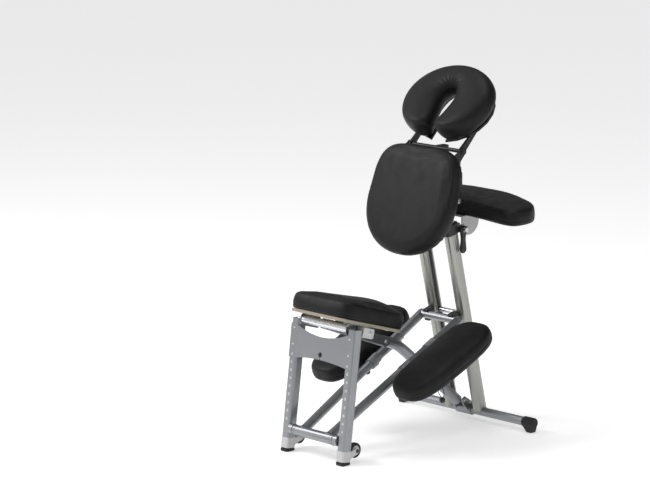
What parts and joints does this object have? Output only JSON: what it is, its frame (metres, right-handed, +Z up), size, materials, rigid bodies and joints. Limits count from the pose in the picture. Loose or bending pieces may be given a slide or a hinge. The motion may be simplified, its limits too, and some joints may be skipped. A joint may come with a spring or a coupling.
{
  "type": "kneeling massage chair",
  "caption": "Folding kneeling massage chair: forward-tilted seat, sloping knee pads, chest pad, armrest and an open face cushion on a silver tube frame.",
  "frame": {"origin": "on the floor, at the centre of the footprint box", "axes": "+Z up; +Y from the front legs to the posts, the way the client faces; +X to the right of a client on the seat"},
  "size_m": [0.6, 0.824, 1.1566],
  "materials": {
    "frame_silver": "satin silver-grey paint",
    "post_silver": "satin silver paint on an extruded oval post",
    "bare_aluminium": "bare drawn tube",
    "casting_grey": "light grey cast and moulded fittings",
    "bolt_steel": "zinc-plated",
    "black_steel": "black powder coat",
    "black_plastic": "moulded, fine grain",
    "black_rubber": "matt",
    "black_vinyl": "soft leather-look upholstery vinyl over foam",
    "seat_board_ply": "edge of a plywood board"
  },
  "bodies": {
    "rear_frame": {"base_bar": "frame_silver", "left_post": "post_silver", "right_post": "post_silver", "left_post_track": "black_plastic", "right_post_track": "black_plastic", "left_base_cap": "black_rubber", "right_base_cap": "black_rubber", "left_fold_bracket": "black_plastic", "right_fold_bracket": "black_plastic", "left_post_collar": "black_plastic", "right_post_collar": "black_plastic", "post_cross_rod": "bare_aluminium", "arm_clevis": "frame_silver"},
    "knee_frame": {"knee_frame": "frame_silver"},
    "leg_frame": {"left_leg_tube": "frame_silver", "right_leg_tube": "frame_silver", "left_hinge_block": "casting_grey", "right_hinge_block": "casting_grey", "leg_cross_shaft": "frame_silver", "front_panel": "frame_silver"},
    "seat": {"seat_cross_tube": "bare_aluminium", "seat_support": "frame_silver", "left_seat_plate": "frame_silver", "right_seat_plate": "frame_silver", "seat_board": "seat_board_ply", "seat_cushion": "black_vinyl"},
    "arm": {"curved_arm": "frame_silver"},
    "upper": {"left_inner_post": "bare_aluminium", "right_inner_post": "bare_aluminium", "upper_yoke": "black_steel"},
    "chest": {"chest_cushion": "black_vinyl", "chest_frame": "black_steel"},
    "chest_lever": {"chest_lever": "black_plastic"},
    "face_cradle": {"face_cradle": "black_steel", "face_cushion": "black_vinyl"},
    "cradle_lever": {"cradle_lever": "black_plastic"},
    "armrest": {"armrest_cushion": "black_vinyl", "armrest_bracket": "casting_grey"},
    "left_inner_leg": {"left_inner_leg": "bare_aluminium", "left_foot_casting": "casting_grey", "left_foot_tip": "black_rubber", "left_wheel_axle": "black_plastic"},
    "left_wheel": {"left_wheel_tyre": "black_rubber", "left_wheel_hub": "casting_grey"},
    "left_snap_button": {"left_snap_button": "bolt_steel"},
    "left_knee_pad": {"left_knee_bracket": "frame_silver", "left_knee_cushion": "black_vinyl"},
    "left_pull_pin": {"left_pull_pin": "bolt_steel"},
    "left_post_lever": {"left_post_lever": "black_plastic"},
    "right_inner_leg": {"right_inner_leg": "bare_aluminium", "right_foot_casting": "casting_grey", "right_foot_tip": "black_rubber", "right_wheel_axle": "black_plastic"},
    "right_wheel": {"right_wheel_tyre": "black_rubber", "right_wheel_hub": "casting_grey"},
    "right_snap_button": {"right_snap_button": "bolt_steel"},
    "right_knee_pad": {"right_knee_bracket": "frame_silver", "right_knee_cushion": "black_vinyl"},
    "right_pull_pin": {"right_pull_pin": "bolt_steel"},
    "right_post_lever": {"right_post_lever": "black_plastic"}
  },
  "joints": [
    {"name": "knee_frame_fold", "type": "hinge", "parent": "rear_frame", "child": "knee_frame", "pos_m": [0, 0.168, 0.3505], "axis": [1, 0, 0], "range_deg": [0, 74]},
    {"name": "leg_frame_fold", "type": "hinge", "parent": "knee_frame", "child": "leg_frame", "pos_m": [0, -0.394, 0.072], "axis": [1, 0, 0], "range_deg": [-30, 0]},
    {"name": "seat_fold", "type": "hinge", "parent": "leg_frame", "child": "seat", "pos_m": [0, -0.34294, 0.41203], "axis": [1, 0, 0], "range_deg": [0, 89]},
    {"name": "arm_fold", "type": "hinge", "parent": "seat", "child": "arm", "pos_m": [0, -0.1, 0.3185], "axis": [1, 0, 0], "range_deg": [-118.5, 0]},
    {"name": "post_height", "type": "slide", "parent": "rear_frame", "child": "upper", "axis": [0, -0.2334, 0.9724], "range_m": [-0.008, 0.14]},
    {"name": "chest_tilt", "type": "hinge", "parent": "upper", "child": "chest", "pos_m": [0, 0.1295, 0.744], "axis": [1, 0, 0], "range_deg": [-15, 9]},
    {"name": "chest_lever_turn", "type": "hinge", "parent": "chest", "child": "chest_lever", "pos_m": [0.118, 0.133, 0.83], "axis": [1, 0, 0], "range_deg": [-30, 0]},
    {"name": "face_cradle_tilt", "type": "hinge", "parent": "chest", "child": "face_cradle", "pos_m": [0, 0.149, 0.8976], "axis": [1, 0, 0], "range_deg": [-30, 10]},
    {"name": "cradle_lever_turn", "type": "hinge", "parent": "face_cradle", "child": "cradle_lever", "pos_m": [0, 0.149, 0.8976], "axis": [1, 0, 0], "range_deg": [-40, 0]},
    {"name": "armrest_tilt", "type": "hinge", "parent": "upper", "child": "armrest", "pos_m": [0, 0.214, 0.643], "axis": [1, 0, 0], "range_deg": [-75, 12]},
    {"name": "left_leg_extension", "type": "slide", "parent": "leg_frame", "child": "left_inner_leg", "axis": [0, -0.1357, -0.9907], "range_m": [0, 0.1524]},
    {"name": "left_wheel_spin", "type": "hinge", "parent": "left_inner_leg", "child": "left_wheel", "pos_m": [-0.12, -0.345, 0.037], "axis": [1, 0, 0], "continuous": true},
    {"name": "left_snap_button_press", "type": "slide", "parent": "left_inner_leg", "child": "left_snap_button", "axis": [0, 0.9907, -0.1357], "range_m": [0, 0.005]},
    {"name": "left_knee_pad_slide", "type": "slide", "parent": "knee_frame", "child": "left_knee_pad", "axis": [-0.0382, 0.8954, 0.4437], "range_m": [-0.045, 0.04]},
    {"name": "left_pull_pin_pull", "type": "slide", "parent": "left_knee_pad", "child": "left_pull_pin", "axis": [0, 0.3891, -0.9212], "range_m": [0, 0.01]},
    {"name": "left_post_lever_open", "type": "hinge", "parent": "rear_frame", "child": "left_post_lever", "pos_m": [-0.0925, 0.174, 0.645], "axis": [0, 1, 0], "range_deg": [0, 100]},
    {"name": "right_leg_extension", "type": "slide", "parent": "leg_frame", "child": "right_inner_leg", "axis": [0, -0.1357, -0.9907], "range_m": [0, 0.1524]},
    {"name": "right_wheel_spin", "type": "hinge", "parent": "right_inner_leg", "child": "right_wheel", "pos_m": [0.12, -0.345, 0.037], "axis": [1, 0, 0], "continuous": true},
    {"name": "right_snap_button_press", "type": "slide", "parent": "right_inner_leg", "child": "right_snap_button", "axis": [0, 0.9907, -0.1357], "range_m": [0, 0.005]},
    {"name": "right_knee_pad_slide", "type": "slide", "parent": "knee_frame", "child": "right_knee_pad", "axis": [0.0382, 0.8954, 0.4437], "range_m": [-0.045, 0.04]},
    {"name": "right_pull_pin_pull", "type": "slide", "parent": "right_knee_pad", "child": "right_pull_pin", "axis": [0, 0.3891, -0.9212], "range_m": [0, 0.01]},
    {"name": "right_post_lever_open", "type": "hinge", "parent": "rear_frame", "child": "right_post_lever", "pos_m": [0.0925, 0.174, 0.645], "axis": [0, -1, 0], "range_deg": [0, 100]}
  ],
  "couplings": [
    {"joint": "leg_frame_fold", "follows": "knee_frame_fold", "ratio": -0.4},
    {"joint": "seat_fold", "follows": "knee_frame_fold", "ratio": 1.2},
    {"joint": "arm_fold", "follows": "knee_frame_fold", "ratio": -1.6}
  ]
}
